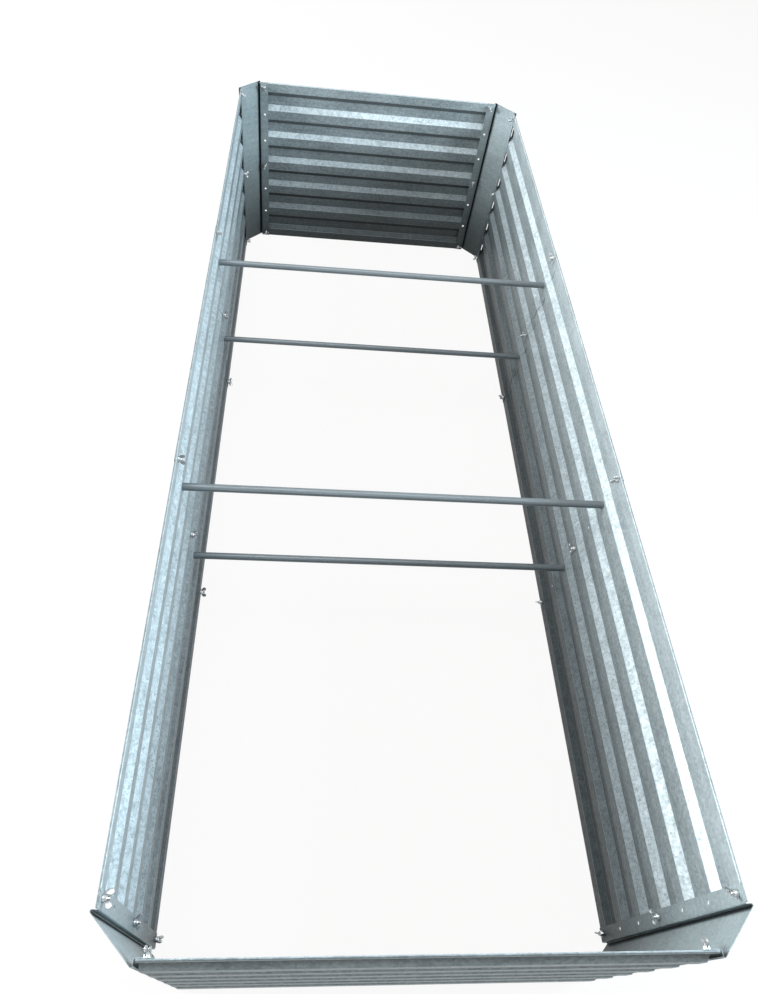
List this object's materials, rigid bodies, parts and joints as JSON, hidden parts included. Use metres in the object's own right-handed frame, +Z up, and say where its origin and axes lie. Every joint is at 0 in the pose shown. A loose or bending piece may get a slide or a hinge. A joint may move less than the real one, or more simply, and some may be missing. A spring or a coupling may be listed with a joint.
{
  "type": "raised garden bed",
  "caption": "Open-bottomed rectangular garden bed of bolted corrugated galvanised sheet, with chamfered corner pieces and tie rods across the long sides.",
  "frame": {"origin": "centre of the footprint, on the ground", "axes": "+X across the bed to the right, +Y along the bed to the far end, +Z up"},
  "size_m": [0.909, 2.401, 0.555],
  "materials": {
    "panel_sheet": "hot-dip galvanised, spangled, semi-gloss",
    "corner_sheet": "hot-dip galvanised, fine spangle, semi-gloss",
    "rod_tube": "galvanised tube, drawn, satin",
    "fastener_zinc": "bright zinc plate"
  },
  "bodies": {
    "root": {"corner_near_left": "corner_sheet", "corner_near_right": "corner_sheet", "corner_far_left": "corner_sheet", "corner_far_right": "corner_sheet", "end_panel_near": "panel_sheet", "end_panel_far": "panel_sheet", "side_panel_left_near": "panel_sheet", "side_panel_left_middle": "panel_sheet", "side_panel_left_far": "panel_sheet", "side_panel_right_near": "panel_sheet", "side_panel_right_middle": "panel_sheet", "side_panel_right_far": "panel_sheet", "tie_rod_near_upper": "rod_tube", "rod_plugs_near_upper": "rod_tube", "rod_bolts_near_upper": "fastener_zinc", "tie_rod_near_lower": "rod_tube", "rod_plugs_near_lower": "rod_tube", "rod_bolts_near_lower": "fastener_zinc", "tie_rod_far_upper": "rod_tube", "rod_plugs_far_upper": "rod_tube", "rod_bolts_far_upper": "fastener_zinc", "tie_rod_far_lower": "rod_tube", "rod_plugs_far_lower": "rod_tube", "rod_bolts_far_lower": "fastener_zinc", "corner_bolts_near_left": "fastener_zinc", "corner_wing_nuts_near_left": "fastener_zinc", "corner_bolts_near_right": "fastener_zinc", "corner_wing_nuts_near_right": "fastener_zinc", "corner_bolts_far_left": "fastener_zinc", "corner_wing_nuts_far_left": "fastener_zinc", "corner_bolts_far_right": "fastener_zinc", "corner_wing_nuts_far_right": "fastener_zinc", "seam_bolts_left_near": "fastener_zinc", "seam_wing_nuts_left_near": "fastener_zinc", "seam_bolts_left_far": "fastener_zinc", "seam_wing_nuts_left_far": "fastener_zinc", "seam_bolts_right_near": "fastener_zinc", "seam_wing_nuts_right_near": "fastener_zinc", "seam_bolts_right_far": "fastener_zinc", "seam_wing_nuts_right_far": "fastener_zinc"}
  },
  "joints": []
}
